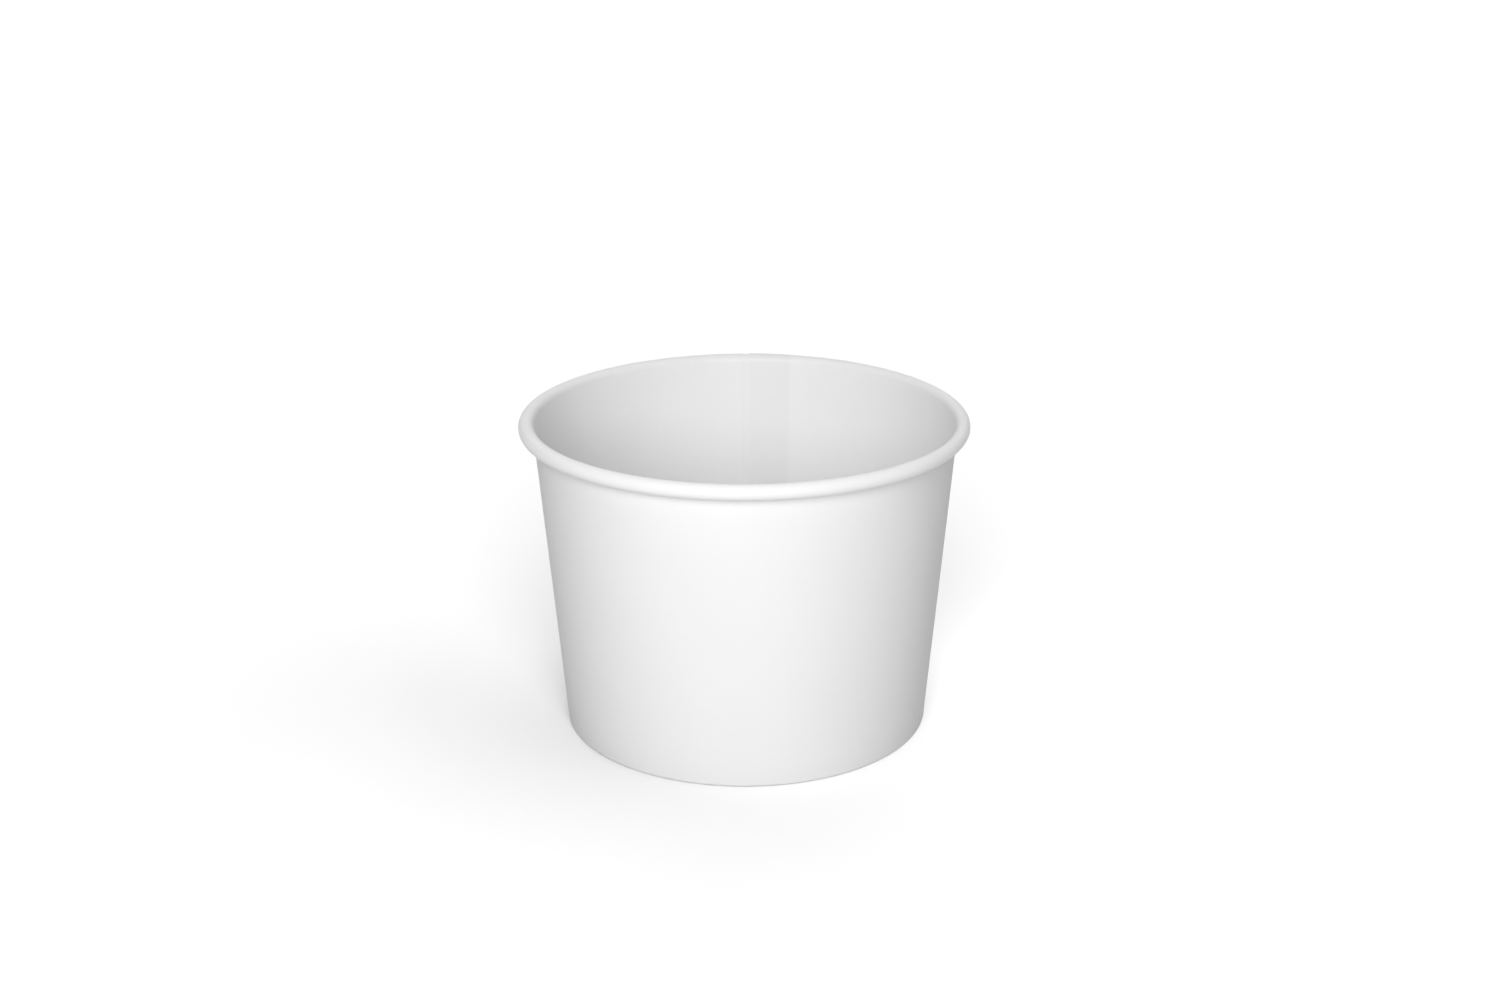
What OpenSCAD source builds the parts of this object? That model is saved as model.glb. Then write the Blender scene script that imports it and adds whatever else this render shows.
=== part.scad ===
// Paper soup cup: a wrapped sidewall with a lap seam, a rolled rim and a folded foot,
// and a round bottom whose skirt is held in that fold.
// Millimetres. +Z is up and the origin is on the table, under the middle of the cup.

/* [Cup] */
// Outside diameter of the rolled rim
rim_d = 90; // [88:0.5:96]
// Outside diameter of the foot, where the wall meets the table
base_d = 73.5; // [68:0.5:78]
// Height from the table to the top of the rim
cup_h = 64; // [50:0.5:110]
// Thickness of the sidewall's board
board_t = 0.35; // [0.3:0.01:0.42]

/* [Rolled rim] */
// Width of the roll, from the inside of the wall to the rim's outermost point
curl_w = 3.2; // [3:0.05:4]
// Height of the roll
curl_h = 2.65; // [2.5:0.05:2.9]
// Radius of the tail that is tucked up inside the roll
tail_r = 0.8; // [0.75:0.01:0.9]
// Angle through which the tail turns after the flat under the roll
tail_turn = 150; // [90:5:180]
// Clearance between the tail and the lapped wall
tail_gap = 0.1; // [0.05:0.01:0.2]

/* [Lap seam] */
// Width of the glued lap, measured round the wall under the rim
lap_w = 9; // [6:0.25:12]
// Distance that the outer ply steps out over the pressed inner ply
lap_step = 0.22; // [0.12:0.01:0.26]
// Width of the jog beside the lap, measured round the wall under the rim
jog_w = 2; // [1:0.1:4]
// Direction of the inner ply's cut edge seen from above, with 90 straight back
seam_at = 89; // [60:1:120]

/* [Foot] */
// Height from the table to the hem's cut edge
hem_h = 5.5; // [4:0.1:8]
// Inside radius of the two corners of the fold
fold_r = 0.06; // [0.03:0.01:0.12]

/* [Bottom] */
// Thickness of the bottom's board
bottom_t = 0.32; // [0.28:0.01:0.4]
// Height from the hem's cut edge up to the floor inside the cup
floor_rise = 1.7; // [1.5:0.05:4]
// Outside radius of the shoulder between the floor and the skirt
shoulder_r = 0.8; // [0.5:0.05:1.2]
// Clearance of the skirt on each of its sides
seal_gap = 0.03; // [0.02:0.01:0.05]
// Clearance under the skirt's cut edge
skirt_lift = 0.3; // [0.1:0.05:0.8]

/* [Hidden] */
// Largest turn between two points of a rounded stretch of board
turn_step = 15;
// Number of slices in which the jog leaves the wall's line
jog_slices = 6;
// Directions round the cup are kept to this part of a degree, so that neighbouring
// stretches of the wall meet exactly
direction_grain = 0.01;
// Each stretch of the wall reaches this part of a degree into the one before it, so that
// the two fuse into one sheet
stretch_overlap = 0.01;
// Number of segments round a full turn
round_steps = 180;

rim_r = rim_d / 2;
base_r = base_d / 2;

// The roll is an oval: two half circles of this radius with a short flat between them.
roll_r = curl_h / 2;
roll_z = cup_h - roll_r;
roll_inner = [rim_r - curl_w + roll_r, roll_z];
roll_outer = [rim_r - roll_r, roll_z];

// The wall leans out by the angle at which its inside runs smoothly into the roll.
roll_reach = roll_inner - [base_r, 0];
taper = acos((roll_r - board_t) / norm(roll_reach)) - atan2(roll_reach.y, roll_reach.x);

// Layers of board at the foot, as distances outward from the wall's outer face
skirt_outer = -board_t - seal_gap;
skirt_inner = skirt_outer - bottom_t;
hem_outer = skirt_inner - seal_gap;

fold_z = board_t + fold_r;
floor_z = hem_h + floor_rise;
shoulder_z = floor_z - shoulder_r;
skirt_z = fold_z + skirt_lift;

tail_z = roll_z - roll_r + tail_r;
tail_centre = beside_wall(tail_r + lap_step + tail_gap, tail_z);

// Widths round the wall become angles at the radius just under the rim.
neck_r = beside_wall(0, cup_h - curl_h).x;
lap_angle = degrees_round(lap_w, neck_r);
slice_angle = degrees_round(jog_w / jog_slices, neck_r);
jog_start = seam_at + jog_slices * slice_angle;

// Angle that a width spans on a circle, to the grain of the directions
function degrees_round(width, radius) =
    round(width / radius * 180 / PI / direction_grain) * direction_grain;

// Point of the section at height z, at distance d outward from the wall's outer face
function beside_wall(d, z) = [base_r + (d + z * sin(taper)) / cos(taper), z];

function direction(angle) = [cos(angle), sin(angle)];

// Angles of a rounded stretch, in equal steps
function turn(from, to) =
    let (steps = ceil(abs(to - from) / turn_step))
    [for (i = [0:steps]) from + (to - from) * i / steps];

// The sheet is followed along the face that lies on the forming mandrel. Each station is
// that face's point, the direction to the sheet's other face, and the direction in which
// the outer ply of the lap steps away.
function station(place, across, step) = [place, across, step];

// Rounded stretch at the foot: the other face lies outside the bend, and the step keeps level,
// so that the foot stands flat
function foot_bend(centre, radius, from, to) =
    [for (a = turn(from, to))
        station(centre + radius * direction(a), direction(a), [cos(a), 0])];

// Rounded stretch of the roll: the other face lies inside the bend
function roll_bend(centre, radius, from, to) =
    [for (a = turn(from, to))
        station(centre + radius * direction(a), -direction(a), -direction(a))];

hem_facing = 180 - taper;
sheet = concat(
    [station(beside_wall(hem_outer, hem_h), direction(hem_facing), [cos(hem_facing), 0])],
    foot_bend(beside_wall(hem_outer + fold_r, fold_z), fold_r, hem_facing, 270),
    foot_bend(beside_wall(-board_t - fold_r, fold_z), fold_r, 270, 360 - taper),
    roll_bend(roll_inner, roll_r, 180 - taper, 90),
    roll_bend(roll_outer, roll_r, 90, -90),
    roll_bend(tail_centre, tail_r, -90, -90 - tail_turn)
);

// The sheet's two faces at a station, stepped away from the mandrel
function near_face(s, step) = s[0] + step * s[2];
function far_face(s, step) = near_face(s, step) + board_t * s[1];

// Section of the board, with each of its two faces stepped by its own distance
function section(near_step, far_step) = concat(
    [for (s = sheet) near_face(s, near_step)],
    [for (i = [len(sheet) - 1:-1:0]) far_face(sheet[i], far_step)]
);

// Smooth rise from 0 to 1
function ease(x) = (1 - cos(180 * x)) / 2;

// Stretch of board, turned round the cup from one direction to another
module stretch(from, to, near_step, far_step) {
    rotate_extrude(
        start = from - stretch_overlap,
        angle = to - from + stretch_overlap,
        $fn = round_steps
    )
        polygon(section(near_step, far_step));
}

// The sheet leaves the wall's line, slice by slice, to pass over its own inner cut edge.
module jog() {
    for (i = [1:jog_slices]) {
        step = lap_step * ease(i / (jog_slices + 1));
        stretch(jog_start - i * slice_angle, jog_start - (i - 1) * slice_angle, step, step);
    }
}

// The wrapped blank: once round as a single ply, the jog, and the lap in which both plies
// are pressed together, from the inner ply's cut edge to the outer ply's
module sidewall() {
    color("white")
    union() {
        stretch(jog_start, seam_at + 360 - lap_angle, 0, 0);
        jog();
        stretch(seam_at - lap_angle, seam_at, 0, lap_step);
    }
}

// The bottom blank: a flat floor with its edge turned down into a skirt along the wall
module bottom() {
    shoulder = beside_wall(skirt_outer - shoulder_r, shoulder_z);
    bend = turn(-taper, 90);
    upper_face = concat(
        [beside_wall(skirt_outer, skirt_z)],
        [for (a = bend) shoulder + shoulder_r * direction(a)],
        [[0, floor_z]]
    );
    lower_face = concat(
        [[0, floor_z - bottom_t]],
        [for (i = [len(bend) - 1:-1:0]) shoulder + (shoulder_r - bottom_t) * direction(bend[i])],
        [beside_wall(skirt_inner, skirt_z)]
    );
    color("whitesmoke")
    rotate_extrude($fn = round_steps)
        polygon(concat(upper_face, lower_face));
}

sidewall();
bottom();
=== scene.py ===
"""Soup cup of coated paperboard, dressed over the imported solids. Metres, +Z up."""

import math

import bmesh
import bpy
from mathutils import Matrix, Vector


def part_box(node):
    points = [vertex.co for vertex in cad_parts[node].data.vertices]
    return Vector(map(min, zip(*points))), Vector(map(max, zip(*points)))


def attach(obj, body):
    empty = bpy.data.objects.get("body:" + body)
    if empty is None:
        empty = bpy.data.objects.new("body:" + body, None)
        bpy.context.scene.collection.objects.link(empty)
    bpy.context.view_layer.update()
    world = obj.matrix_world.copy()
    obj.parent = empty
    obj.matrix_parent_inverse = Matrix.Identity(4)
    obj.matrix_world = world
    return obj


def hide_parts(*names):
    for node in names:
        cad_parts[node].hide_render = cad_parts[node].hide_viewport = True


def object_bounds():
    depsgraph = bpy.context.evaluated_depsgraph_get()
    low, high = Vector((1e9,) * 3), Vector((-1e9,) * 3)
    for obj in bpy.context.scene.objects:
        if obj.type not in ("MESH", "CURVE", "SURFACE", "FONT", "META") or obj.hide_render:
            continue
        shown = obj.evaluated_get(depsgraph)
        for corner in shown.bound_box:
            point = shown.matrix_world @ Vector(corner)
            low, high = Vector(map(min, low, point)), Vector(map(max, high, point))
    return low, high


MM = 0.001

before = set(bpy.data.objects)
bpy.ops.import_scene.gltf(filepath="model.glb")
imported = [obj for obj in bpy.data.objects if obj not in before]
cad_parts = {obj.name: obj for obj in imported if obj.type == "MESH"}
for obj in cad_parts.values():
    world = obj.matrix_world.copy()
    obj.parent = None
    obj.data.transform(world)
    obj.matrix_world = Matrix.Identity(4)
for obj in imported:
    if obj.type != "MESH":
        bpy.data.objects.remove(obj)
cad_low, cad_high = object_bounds()
floor_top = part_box("bottom")[1].z

# The cup, as in the solids
RIM_R = -cad_low.x
CUP_H = cad_high.z
BASE_R = 73.5 * MM / 2
BOARD_T = 0.35 * MM
CURL_W = 3.2 * MM
TAIL_R = 0.8 * MM
TAIL_TURN = 150
TAIL_GAP = 0.1 * MM
LAP_W = 9 * MM
LAP_STEP = 0.22 * MM
JOG_W = 2 * MM
SEAM_AT = 89
HEM_H = 5.5 * MM
BOTTOM_T = 0.32 * MM
SHOULDER_R = 0.8 * MM
SEAL_GAP = 0.03 * MM
SKIRT_LIFT = 0.3 * MM

# The roll stands a little higher, and the fold is a little rounder, than in the solids.
CURL_H = 3.1 * MM
FOLD_R = 0.17 * MM

# What only the finished board shows
EDGE_ROUND = 0.04 * MM
EDGE_MIDWAY = 0.3
PRESSED_GAP = 0.005 * MM
PRESS_W = 1.2 * MM
ROLL_LIFT = 0.09 * MM
ROLL_LIFT_FADE = 6 * MM
KNURL_DEPTH = 0.12 * MM
KNURL_LOW = 1.0 * MM
KNURL_HIGH = 4.9 * MM
KNURL_RUN_OUT = 0.5 * MM
FLOOR_DISH = 0.2 * MM
RIM_SAG_MM = 0.05
RIM_LEAN_MM = 0.02
WALL_DRIFT = 0.02 * MM

# Share by which the roll is smaller than its full size: the mean, and the share of the waves
# that go once, twice and three times round the cup
ROLL_SHRINK = 0.052
ROLL_SHRINK_WAVES = (0.044, 0.028, 0.012)

# Waves round the wall: how many, how strong, where they start and how they turn up the wall
WALL_WAVES = ((3, 1, 0.4, 0), (5, 0.7, 2.0, 20), (9, 0.4, 1.3, 0))

# Board: colours, and the grain of its clouds, specks and fibres, each as waves to the metre
# and levels of detail
BOARD_WHITE = (0.90, 0.90, 0.90)
# The cut edges: the raw board's slightly darker core, made darker still as painted shade for the
# dark crevice line at the seam's step.
CUT_GREY_AND_PAINTED_SHADE = (0.78, 0.775, 0.765)
# Painted shade: the board's colour is this much darker where two plies lie on each other, in
# place of the light that the doubled board lets through less.
LAP_PAINTED_SHADE = 0.965
CLOUDS = (70, 3)
SPECKS = (900, 2)
FIBRES = (1600, 4)
FIBRE_STRETCH = (0.35, 1.0, 1.0)
FIBRE_DEPTH = 0.03 * MM
ROUGHNESS_SPREAD = 0.04
NOISE_LOW = 0.3
NOISE_HIGH = 0.7

# Mesh density
GROOVES = 120
COLUMNS_PER_GROOVE = 4
LAP_COLUMNS = 12
JOG_COLUMNS = 8
PRESS_COLUMNS = 3
WALL_ROWS = 14
HEM_ROWS = 8
FOLD_ROWS = 5
ROLL_TURNS = 27
TAIL_TURNS = 12
SHOULDER_TURNS = 10
FLOOR_RINGS = 12
BOTTOM_TURNS = 192
SHARP_ANGLE = 40

# Added to each row's length, so that no two rows share a place on the board's map
ROW_GAP = 0.01 * MM

# Points closer than this are one: in the wrapped sheet, and in the turned bottom
WELD = 1e-8
TURNED_WELD = 1e-7

# Least upward part of the direction in which the bottom's coated faces look
LOOKS_UP = 0.2

# The studio
FLOOR_HALF_SIDE = 8
FLOOR_BOUNCE = 0.45
FLOOR_SHOWN = 0.95
SOFT_BOX_D = 0.35
LAMP_AWAY = 0.6

# The photograph's camera: place, tilt below level, roll, lens and sensor in millimetres
CAMERA_AT = (0.89 * MM, -412.5 * MM, 192.2 * MM)
CAMERA_TILT = 19.57
CAMERA_ROLL = -0.16
LENS_MM = 52.2
SENSOR_MM = 36

ROLL_R = CURL_H / 2
ROLL_Z = CUP_H - ROLL_R
ROLL_INNER = Vector((RIM_R - CURL_W + ROLL_R, ROLL_Z))
ROLL_OUTER = Vector((RIM_R - ROLL_R, ROLL_Z))
REACH = ROLL_INNER - Vector((BASE_R, 0))
TAPER = math.acos((ROLL_R - BOARD_T) / REACH.length) - math.atan2(REACH.y, REACH.x)

SKIRT_OUTER = -BOARD_T - SEAL_GAP
SKIRT_INNER = SKIRT_OUTER - BOTTOM_T
HEM_OUTER = SKIRT_INNER - SEAL_GAP
FOLD_Z = BOARD_T + FOLD_R


def beside_wall(d, z):
    """Point (radius, height) at distance d outward from the wall's outer face."""
    return Vector((BASE_R + (d + z * math.sin(TAPER)) / math.cos(TAPER), z))


NECK = beside_wall(-BOARD_T, CUP_H - CURL_H)
NECK_R = beside_wall(0, CUP_H - CURL_H).x
LAP_ANGLE = math.degrees(LAP_W / NECK_R)
JOG_ANGLE = math.degrees(JOG_W / NECK_R)
PRESS_ANGLE = math.degrees(PRESS_W / NECK_R)
ROUND_ANGLE = math.degrees(EDGE_ROUND / NECK_R)


def direction(angle):
    """The direction at an angle in degrees."""
    return Vector((math.cos(math.radians(angle)), math.sin(math.radians(angle))))


def spread(start, end, steps):
    """Evenly spaced values from start up to, and without, end."""
    return [start + (end - start) * i / steps for i in range(steps)]


def ease(x):
    """Smooth rise from 0 to 1."""
    return (1 - math.cos(math.pi * min(max(x, 0), 1))) / 2


def bend(centre, radius, start, end, steps, other_face_inside=False):
    """Stations of a rounded stretch: the point on the face that touches the mandrel and the
    direction to the board's other face."""
    side = -1 if other_face_inside else 1
    angles = spread(start, end, steps) + [end]
    return [(centre + radius * direction(a), side * direction(a)) for a in angles]


def straight(start, end, across, steps):
    """Stations strictly between two points of a flat stretch."""
    return [(start.lerp(end, i / steps), across) for i in range(1, steps)]


def sheet_stations():
    """The sidewall's section, from the hem's cut edge down, under the foot, up the wall and
    round the rim's roll to its tail."""
    taper = math.degrees(TAPER)
    hem_centre = beside_wall(HEM_OUTER + FOLD_R, FOLD_Z)
    wall_centre = beside_wall(-BOARD_T - FOLD_R, FOLD_Z)
    tail_centre = beside_wall(TAIL_R + LAP_STEP + TAIL_GAP, CUP_H - CURL_H + TAIL_R)
    over_wall = ROLL_TURNS // 3
    hem_top = (beside_wall(HEM_OUTER, HEM_H), direction(180 - taper))
    hem_corner = bend(hem_centre, FOLD_R, 180 - taper, 270, FOLD_ROWS)
    wall_corner = bend(wall_centre, FOLD_R, 270, 360 - taper, FOLD_ROWS)
    roll = bend(ROLL_INNER, ROLL_R, 180 - taper, 90, over_wall, True)
    roll += bend(ROLL_OUTER, ROLL_R, 90, -90, ROLL_TURNS - over_wall, True)
    roll += bend(tail_centre, TAIL_R, -90, -90 - TAIL_TURN, TAIL_TURNS, True)
    hem = straight(hem_top[0], hem_corner[0][0], hem_top[1], HEM_ROWS)
    wall = straight(wall_corner[-1][0], roll[0][0], roll[0][1], WALL_ROWS)
    return [hem_top] + hem + hem_corner + wall_corner + wall + roll


def columns():
    """Where the sheet's columns stand, from the outer ply's cut edge once round the cup and
    under itself to the inner ply's cut edge."""
    outer_edge = SEAM_AT - LAP_ANGLE
    jog_end = SEAM_AT + JOG_ANGLE
    lap_start = outer_edge + 360
    inner_edge = SEAM_AT + 360
    rounded = inner_edge - ROUND_ANGLE
    angles = [outer_edge, outer_edge + ROUND_ANGLE * EDGE_MIDWAY]
    angles += spread(outer_edge + ROUND_ANGLE, SEAM_AT, LAP_COLUMNS)
    angles += spread(SEAM_AT, jog_end, JOG_COLUMNS)
    angles += spread(jog_end, lap_start, GROOVES * COLUMNS_PER_GROOVE)
    angles += spread(lap_start, lap_start + PRESS_ANGLE, PRESS_COLUMNS)
    angles += spread(lap_start + PRESS_ANGLE, rounded, LAP_COLUMNS)
    angles += [rounded, inner_edge - ROUND_ANGLE * EDGE_MIDWAY, inner_edge]
    return angles


def distance_round(angle):
    """Length round the neck that an angle in degrees spans."""
    return math.radians(angle) * NECK_R


def past_lap_start(angle):
    """Angle from the outer ply's cut edge on into the inner ply."""
    return angle - (SEAM_AT + 360 - LAP_ANGLE)


def edge_inset(angle):
    """How far a cut edge's rounding draws both faces in at a column."""
    to_edge = distance_round(min(angle - (SEAM_AT - LAP_ANGLE), SEAM_AT + 360 - angle))
    short = max(EDGE_ROUND - to_edge, 0)
    return EDGE_ROUND - math.sqrt(EDGE_ROUND**2 - min(short, EDGE_ROUND) ** 2)


def ply_step(angle):
    """How far the outer ply stands off the mandrel, and how far its lap lifts the roll. Under
    the outer ply the lift grows over the first quarter of the lap."""
    if angle < SEAM_AT:
        return LAP_STEP, ROLL_LIFT * math.exp(-distance_round(SEAM_AT - angle) / ROLL_LIFT_FADE)
    if angle < SEAM_AT + JOG_ANGLE:
        out = ease(1 - (angle - SEAM_AT) / JOG_ANGLE)
        return LAP_STEP * out, ROLL_LIFT * out
    past_lap = past_lap_start(angle)
    if past_lap > 0:
        fade = math.exp(-distance_round(SEAM_AT + 360 - angle) / ROLL_LIFT_FADE)
        return 0, ROLL_LIFT * fade * ease(past_lap / LAP_ANGLE * 4)
    return 0, 0


def thickness(angle):
    """The board's thickness: full, or pressed thin under the outer ply."""
    under = past_lap_start(angle) / (PRESS_ANGLE / PRESS_COLUMNS)
    pressed = LAP_STEP - PRESSED_GAP
    return BOARD_T + (pressed - BOARD_T) * ease(under)


def doubled(angle):
    """1 where two plies lie on each other, else 0, with a soft start at the outer ply's edge."""
    if angle < SEAM_AT:
        return 1.0
    return ease((past_lap_start(angle) + PRESS_ANGLE / 2) / PRESS_ANGLE)


def roll_shrink(angle):
    """Share by which the roll is smaller than its full size, most on the right."""
    a = math.radians(angle)
    waves = (share * math.cos(n * a) for n, share in enumerate(ROLL_SHRINK_WAVES, 1))
    return sum(waves, ROLL_SHRINK)


def rim_sag(angle, z):
    """How far the top fifth of the cup lies below its full height."""
    lean = RIM_LEAN_MM * math.sin(math.radians(angle))
    return (RIM_SAG_MM + lean) * MM * ease(5 * z / CUP_H - 4)


def wall_drift(angle, z):
    """Slight waviness of the board between foot and rim."""
    a = math.radians(angle)
    height = math.sin(math.pi * min(max(z / ROLL_Z, 0), 1))
    waves = (share * math.sin(n * a + start + turn * z) for n, share, start, turn in WALL_WAVES)
    return WALL_DRIFT * sum(waves) * height


def knurl(angle, z):
    """Depth of the grooves rolled into the hem."""
    up = ease((z - KNURL_LOW) / KNURL_RUN_OUT) * ease((KNURL_HIGH - z) / KNURL_RUN_OUT)
    phase = (angle - SEAM_AT - JOG_ANGLE) / (360 - LAP_ANGLE - JOG_ANGLE) * GROOVES
    return KNURL_DEPTH * up * (1 - math.cos(2 * math.pi * phase)) / 2


class Section:
    """The closed outline of the board: the mandrel face, the tail's cut edge, the other face
    back to the hem, and the hem's cut edge. A row is a station and a share of the thickness."""

    def __init__(self):
        self.stations = sheet_stations()
        count = len(self.stations)
        near = [(i, 0.0) for i in range(count)]
        tail_cut = [(count - 1, 1 / 3), (count - 1, 2 / 3)]
        far = [(i, 1.0) for i in reversed(range(count))]
        hem_cut = [(0, 2 / 3), (0, 1 / 3)]
        self.rows = near + tail_cut + far + hem_cut + near[:1]
        self.near_end = count - 1
        self.far_start = count + len(tail_cut)
        self.far_end = self.far_start + count - 1
        self.roll_start = next(i for i in range(count) if self.stations[i][0].y > NECK.y)
        self.tail_start = count - TAIL_TURNS - 1

    def lifted(self, station):
        """Share of the lap's lift at a station: all of it over the top of the roll, and none
        on the wall and the tail."""
        up = ease((station - self.tail_start + ROLL_TURNS) / ROLL_TURNS * 2)
        return up * ease((self.tail_start - station) / ROLL_TURNS * 2)

    def place(self, station, depth, angle):
        """Point of the sheet at a station, a share of its thickness and a direction."""
        at, across = self.stations[station]
        if station >= self.roll_start:
            at = NECK.lerp(at, 1 - roll_shrink(angle))
        step, lift = ply_step(angle)
        inset = edge_inset(angle)
        foot = at.y < FOLD_Z + FOLD_R
        hem = at.x < BASE_R and at.y > FOLD_Z and station < HEM_ROWS + 2
        near = at + across * (step + inset)
        level = Vector((across.x, 0)) if foot else across
        far = at + level * step + across * (thickness(angle) - inset)
        if hem:
            far -= across * knurl(angle, at.y)
        p = near.lerp(far, depth)
        p -= across * lift * self.lifted(station)
        p.x += wall_drift(angle, at.y)
        p.y -= rim_sag(angle, at.y)
        around = direction(angle)
        return Vector((p.x * around.x, p.x * around.y, max(p.y, 0)))

    def run(self):
        """Running length along the rows, for the board's own map."""
        lengths = [0.0]
        for (a, _), (b, _) in zip(self.rows, self.rows[1:]):
            step = (self.stations[b][0] - self.stations[a][0]).length + ROW_GAP
            lengths.append(lengths[-1] + step)
        return lengths


def finish_mesh(name, bm, materials):
    """Makes a smooth-shaded piece of a bmesh, with the folds and cut edges kept sharp."""
    for face in bm.faces:
        face.smooth = True
    mesh = bpy.data.meshes.new(name)
    bm.to_mesh(mesh)
    bm.free()
    for material in materials:
        mesh.materials.append(material)
    mesh.set_sharp_from_angle(angle=math.radians(SHARP_ANGLE))
    piece = bpy.data.objects.new(name, mesh)
    bpy.context.scene.collection.objects.link(piece)
    return piece


def wrapped_sidewall(materials):
    """The flat blank, wrapped round the cup, lapped, rolled and hemmed. The materials are those
    of the coated face, the outer face and the cut edges."""
    section = Section()
    angles = columns()
    run = section.run()
    across, along = len(angles) - 1, len(section.rows) - 1
    bm = bmesh.new()
    uv = bm.loops.layers.uv.new("board")
    plies = bm.verts.layers.float.new("plies")
    bmesh.ops.create_grid(bm, x_segments=across, y_segments=along, size=0.5)
    cell = {}
    for v in bm.verts:
        cell[v] = (round((v.co.x + 0.5) * across), round((v.co.y + 0.5) * along))
    for v, (column, row) in cell.items():
        station, depth = section.rows[row]
        v.co = section.place(station, depth, angles[column])
        # This mask of doubled plies also carries a painted shade into the board's colour.
        v[plies] = doubled(angles[column])
    for face in bm.faces:
        rows = [cell[v][1] for v in face.verts]
        low, high = min(rows), max(rows)
        outer_face = low >= section.far_start and high <= section.far_end
        cut_edge = not outer_face and low >= section.near_end
        face.material_index = 1 if outer_face else 2 if cut_edge else 0
        for loop in face.loops:
            column, row = cell[loop.vert]
            loop[uv].uv = (distance_round(angles[column] - angles[0]), run[row])
    bmesh.ops.remove_doubles(bm, verts=bm.verts, dist=WELD)
    ends = [e for e in bm.edges if e.is_boundary]
    closed = bmesh.ops.triangle_fill(bm, use_beauty=True, use_dissolve=False, edges=ends)
    for face in closed["geom"]:
        if isinstance(face, bmesh.types.BMFace):
            face.material_index = 2
    bmesh.ops.recalc_face_normals(bm, faces=bm.faces)
    return finish_mesh("wrapped_sidewall", bm, materials)


def bottom_section(shoulder):
    """The bottom's upper face from the skirt's cut edge in to the axis, and its lower face
    back out to the cut edge."""
    taper = math.degrees(TAPER)
    skirt_z = FOLD_Z + SKIRT_LIFT
    heights = (skirt_z, (skirt_z + shoulder.y) / 2)
    rings = [shoulder.x * i / FLOOR_RINGS for i in range(FLOOR_RINGS - 1, -1, -1)]

    def dished(r, z):
        """Point of the floor, which sags a little towards its middle."""
        return Vector((r, z - FLOOR_DISH * ease(1 - r / shoulder.x)))

    upper = [beside_wall(SKIRT_OUTER, z) for z in heights]
    upper += [p for p, _ in bend(shoulder, SHOULDER_R, -taper, 90, SHOULDER_TURNS)]
    upper += [dished(r, floor_top) for r in rings]
    lower = [dished(r, floor_top - BOTTOM_T) for r in reversed(rings)]
    inner_r = SHOULDER_R - BOTTOM_T
    lower += [p for p, _ in bend(shoulder, inner_r, 90, -taper, SHOULDER_TURNS)]
    lower += [beside_wall(SKIRT_INNER, z) for z in reversed(heights)]
    return upper, lower


def pressed_bottom(materials):
    """The bottom disc with its rounded shoulder and turned-down skirt. The materials are those
    of the coated face and the plain face."""
    shoulder = beside_wall(SKIRT_OUTER - SHOULDER_R, floor_top - SHOULDER_R)
    upper, lower = bottom_section(shoulder)
    bm = bmesh.new()
    corners = [bm.verts.new((p.x, 0, p.y)) for p in upper + lower]
    on_axis = corners[len(upper)]
    pairs = [pair for pair in zip(corners, corners[1:]) if pair[1] is not on_axis]
    chain = [bm.edges.new(pair) for pair in pairs]
    chain.append(bm.edges.new((corners[-1], corners[0])))
    bmesh.ops.spin(
        bm,
        geom=corners + chain,
        cent=(0, 0, 0),
        axis=(0, 0, 1),
        angle=2 * math.pi,
        steps=BOTTOM_TURNS,
        use_merge=True,
    )
    bmesh.ops.remove_doubles(bm, verts=bm.verts, dist=TURNED_WELD)
    bmesh.ops.dissolve_degenerate(bm, dist=WELD, edges=bm.edges)
    bmesh.ops.recalc_face_normals(bm, faces=bm.faces)
    for face in bm.faces:
        middle = face.calc_center_median()
        radius = Vector((middle.x, middle.y)).length
        outward = face.normal.x * middle.x + face.normal.y * middle.y
        upper_face = face.normal.z > LOOKS_UP or (outward > 0 and radius > shoulder.x)
        face.material_index = 0 if upper_face and middle.z > FOLD_Z + SKIRT_LIFT else 1
    return finish_mesh("pressed_bottom", bm, materials)


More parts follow.
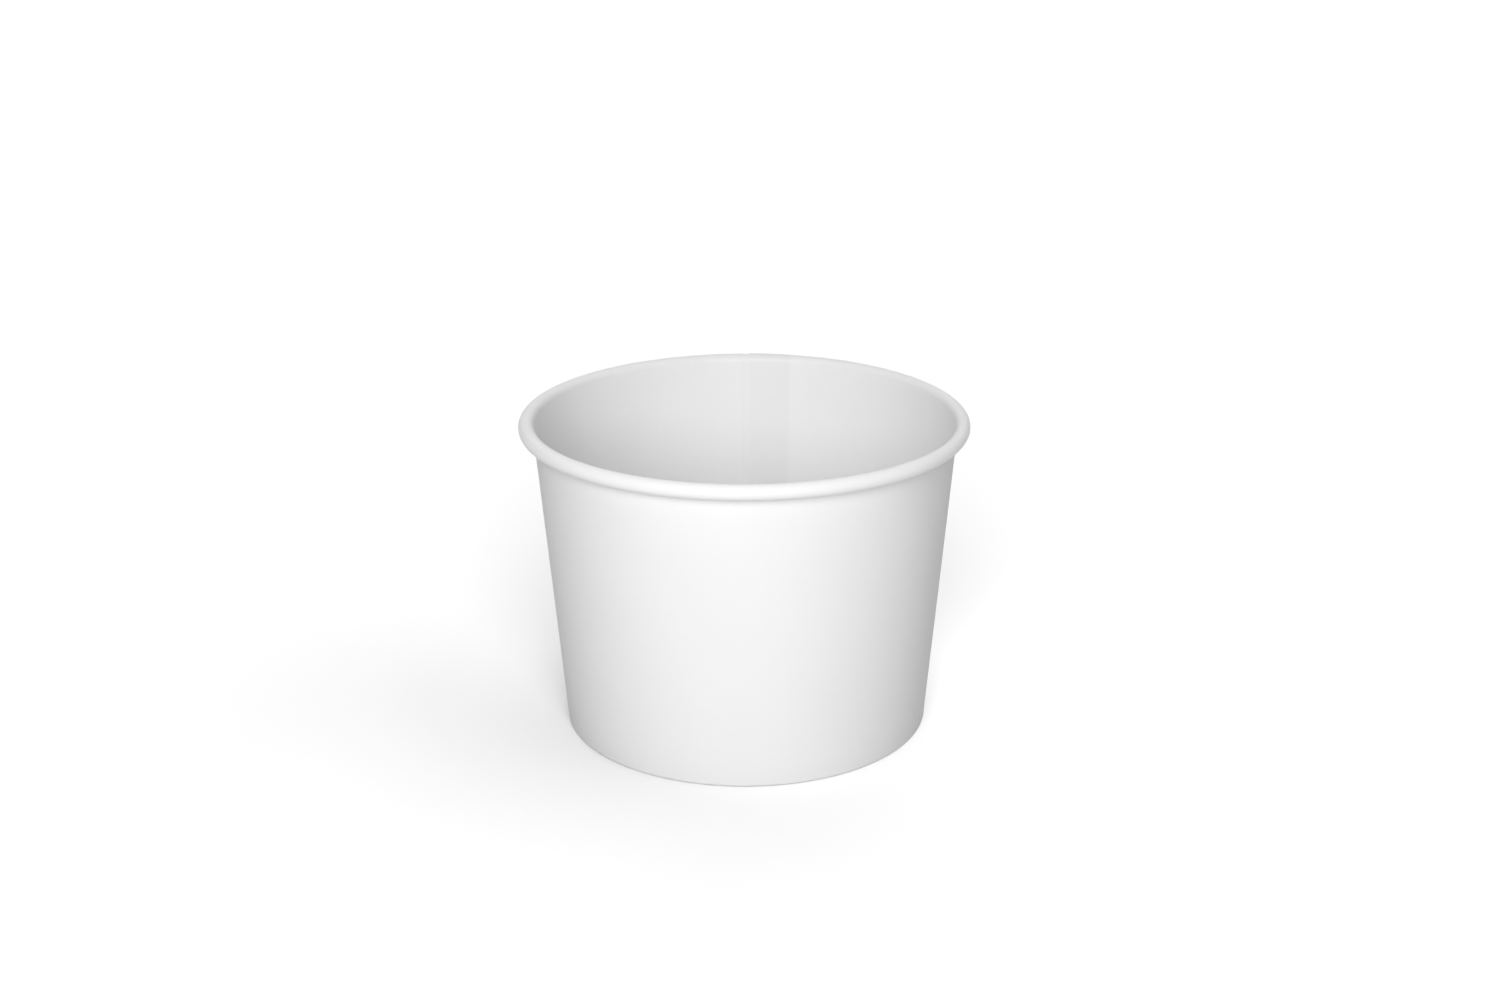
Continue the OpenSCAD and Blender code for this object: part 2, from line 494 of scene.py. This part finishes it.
def board_material(name, colour, roughness, mottling, fibre, gloss):
    """White paperboard: cloudy formation, fine fibres, a slightly uneven surface and a painted
    shade where two plies lie on each other. Mottling is how much darker its clouds are, and
    fibre how strongly the fibres stand out."""
    material = bpy.data.materials.new(name)
    material.use_nodes = True
    nodes, links = material.node_tree.nodes, material.node_tree.links
    shader = nodes["Principled BSDF"]
    place = nodes.new("ShaderNodeTexCoord")
    sheet = nodes.new("ShaderNodeUVMap")
    sheet.uv_map = "board"

    def noise(source, scale, detail, stretch=None):
        texture = nodes.new("ShaderNodeTexNoise")
        texture.inputs["Scale"].default_value = scale
        texture.inputs["Detail"].default_value = detail
        if stretch:
            mapping = nodes.new("ShaderNodeMapping")
            mapping.inputs["Scale"].default_value = stretch
            links.new(source, mapping.inputs["Vector"])
            source = mapping.outputs["Vector"]
        links.new(source, texture.inputs["Vector"])
        return texture.outputs["Fac"]

    def spread_between(value, low, high):
        """Turns a noise's usual range into the range from low to high."""
        ramp = nodes.new("ShaderNodeMapRange")
        ramp.inputs["From Min"].default_value = NOISE_LOW
        ramp.inputs["From Max"].default_value = NOISE_HIGH
        ramp.inputs["To Min"].default_value = low
        ramp.inputs["To Max"].default_value = high
        links.new(value, ramp.inputs["Value"])
        return ramp.outputs["Result"]

    def times(a, b):
        product = nodes.new("ShaderNodeMath")
        product.operation = "MULTIPLY"
        links.new(a, product.inputs[0])
        links.new(b, product.inputs[1])
        return product.outputs["Value"]

    clouds = noise(place.outputs["Object"], *CLOUDS)
    specks = noise(place.outputs["Object"], *SPECKS)
    fibres = noise(sheet.outputs["UV"], *FIBRES, FIBRE_STRETCH)
    cloudy = spread_between(clouds, 1 - mottling, 1)
    specked = spread_between(specks, 1 - mottling / 2, 1)
    shade = times(cloudy, specked)

    # Painted shade: the colour is darkened where two plies lie on each other, in place of the
    # light that the doubled board lets through less.
    plies = nodes.new("ShaderNodeAttribute")
    plies.attribute_name = "plies"
    lap = nodes.new("ShaderNodeMapRange")
    lap.inputs["To Min"].default_value = 1.0
    lap.inputs["To Max"].default_value = LAP_PAINTED_SHADE
    links.new(plies.outputs["Fac"], lap.inputs["Value"])

    tone = nodes.new("ShaderNodeMix")
    tone.data_type = "RGBA"
    tone.inputs["A"].default_value = (0, 0, 0, 1)
    tone.inputs["B"].default_value = (*colour, 1)
    links.new(times(shade, lap.outputs["Result"]), tone.inputs["Factor"])
    links.new(tone.outputs["Result"], shader.inputs["Base Color"])

    uneven = spread_between(specks, roughness - ROUGHNESS_SPREAD, roughness + ROUGHNESS_SPREAD)
    links.new(uneven, shader.inputs["Roughness"])
    bump = nodes.new("ShaderNodeBump")
    bump.inputs["Strength"].default_value = fibre
    bump.inputs["Distance"].default_value = FIBRE_DEPTH
    links.new(fibres, bump.inputs["Height"])
    links.new(bump.outputs["Normal"], shader.inputs["Normal"])
    shader.inputs["Specular IOR Level"].default_value = gloss
    return material


def background_ray(nodes, links):
    """1 for the rays that show the background itself, 0 for those that carry its light."""
    path = nodes.new("ShaderNodeLightPath")
    seen = path.outputs["Is Camera Ray"]
    for mirrored in ("Is Glossy Ray", "Is Transmission Ray"):
        either = nodes.new("ShaderNodeMath")
        either.operation = "MAXIMUM"
        links.new(seen, either.inputs[0])
        links.new(path.outputs[mirrored], either.inputs[1])
        seen = either.outputs["Value"]
    return seen


def studio_floor():
    """A plain white floor that shows its shadows, and throws a softer light back at the cup."""
    bm = bmesh.new()
    bmesh.ops.create_grid(bm, x_segments=1, y_segments=1, size=FLOOR_HALF_SIDE)
    material = bpy.data.materials.new("floor_white")
    material.use_nodes = True
    nodes, links = material.node_tree.nodes, material.node_tree.links
    nodes.remove(nodes["Principled BSDF"])
    mix = nodes.new("ShaderNodeMixShader")
    links.new(background_ray(nodes, links), mix.inputs["Fac"])
    for socket, grey in ((1, FLOOR_BOUNCE), (2, FLOOR_SHOWN)):
        sheet = nodes.new("ShaderNodeBsdfDiffuse")
        sheet.inputs["Color"].default_value = (grey, grey, grey, 1)
        links.new(sheet.outputs["BSDF"], mix.inputs[socket])
    links.new(mix.outputs["Shader"], nodes["Material Output"].inputs["Surface"])
    floor = finish_mesh("studio_floor", bm, [material])
    return floor


def studio_world(strength):
    """Even light from all round, and plain white behind the floor's edge."""
    world = bpy.data.worlds.new("studio")
    bpy.context.scene.world = world
    world.use_nodes = True
    nodes, links = world.node_tree.nodes, world.node_tree.links
    around = nodes["Background"]
    behind = nodes.new("ShaderNodeBackground")
    mix = nodes.new("ShaderNodeMixShader")
    for socket, backdrop, level in ((1, around, strength), (2, behind, 1)):
        backdrop.inputs["Color"].default_value = (1, 1, 1, 1)
        backdrop.inputs["Strength"].default_value = level
        links.new(backdrop.outputs["Background"], mix.inputs[socket])
    links.new(background_ray(nodes, links), mix.inputs["Fac"])
    links.new(mix.outputs["Shader"], nodes["World Output"].inputs["Surface"])


def hang(data, azimuth, elevation, lit):
    """Hangs a lamp round the cup and aims it at its middle. Azimuth 0 is the camera's side and
    90 is the right. Lit names the pieces that it lights, or all of them where it is empty."""
    lamp = bpy.data.objects.new(data.name, data)
    a, e = math.radians(azimuth), math.radians(elevation)
    towards = Vector((math.sin(a) * math.cos(e), -math.cos(a) * math.cos(e), math.sin(e)))
    lamp.location = Vector((0, 0, CUP_H / 2)) + towards * LAMP_AWAY
    lamp.rotation_euler = towards.to_track_quat("Z", "Y").to_euler()
    bpy.context.scene.collection.objects.link(lamp)
    if lit:
        group = bpy.data.collections.new(data.name + "_lights")
        for piece in lit:
            group.objects.link(piece)
        lamp.light_linking.receiver_collection = group


def soft_box(name, azimuth, elevation, strength, lit):
    """A round soft box close to the cup. Strength 1 shows a white sheet facing it as white."""
    data = bpy.data.lights.new(name, "AREA")
    data.shape = "DISK"
    data.size = SOFT_BOX_D
    data.energy = math.pi**2 * LAMP_AWAY**2 * strength
    hang(data, azimuth, elevation, lit)


def far_light(name, azimuth, elevation, width, strength, lit=()):
    """Light from far off that spans an angle. Strength 1 shows a white sheet facing it as
    white."""
    data = bpy.data.lights.new(name, "SUN")
    data.angle = math.radians(width)
    data.energy = math.pi * strength
    hang(data, azimuth, elevation, lit)


def photo_camera():
    """The photograph's viewpoint."""
    data = bpy.data.cameras.new("photo_camera")
    data.sensor_width = SENSOR_MM
    data.lens = LENS_MM
    camera = bpy.data.objects.new("photo_camera", data)
    tilt = Matrix.Rotation(math.radians(90 - CAMERA_TILT), 4, "X")
    roll = Matrix.Rotation(math.radians(CAMERA_ROLL), 4, "Z")
    camera.matrix_world = Matrix.Translation(CAMERA_AT) @ tilt @ roll
    bpy.context.scene.collection.objects.link(camera)
    bpy.context.scene.camera = camera


coated = board_material(
    "coated_board", BOARD_WHITE, roughness=0.40, mottling=0.010, fibre=0.25, gloss=0.25
)
outer = board_material(
    "outer_board", BOARD_WHITE, roughness=0.68, mottling=0.012, fibre=0.45, gloss=0.12
)
# The cut edges' colour is partly the raw core's own tone and partly painted shade for the
# crevice at the seam's step.
cut = board_material("cut_edge", CUT_GREY_AND_PAINTED_SHADE, roughness=0.8, mottling=0.05, fibre=0.9, gloss=0.2)

sidewall = wrapped_sidewall([coated, outer, cut])
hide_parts("sidewall")
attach(sidewall, "root")

bottom = pressed_bottom([coated, outer])
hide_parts("bottom")
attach(bottom, "root")

cup = (sidewall, bottom)
floor = studio_floor()
studio_world(strength=0.06)
soft_box("key", azimuth=-10, elevation=27, strength=0.72, lit=cup)
soft_box("front_fill", azimuth=20, elevation=10, strength=0.14, lit=cup)
far_light("back_light", azimuth=180, elevation=60, width=90, strength=0.36, lit=cup)
far_light("side_light", azimuth=100, elevation=45, width=90, strength=0.05)
far_light("floor_front", azimuth=0, elevation=30, width=40, strength=0.95, lit=[floor])
far_light("floor_back", azimuth=180, elevation=60, width=60, strength=0.4, lit=[floor])
far_light("floor_right", azimuth=85, elevation=40, width=60, strength=0.27, lit=[floor])
photo_camera()
bpy.context.scene.view_settings.view_transform = "Standard"
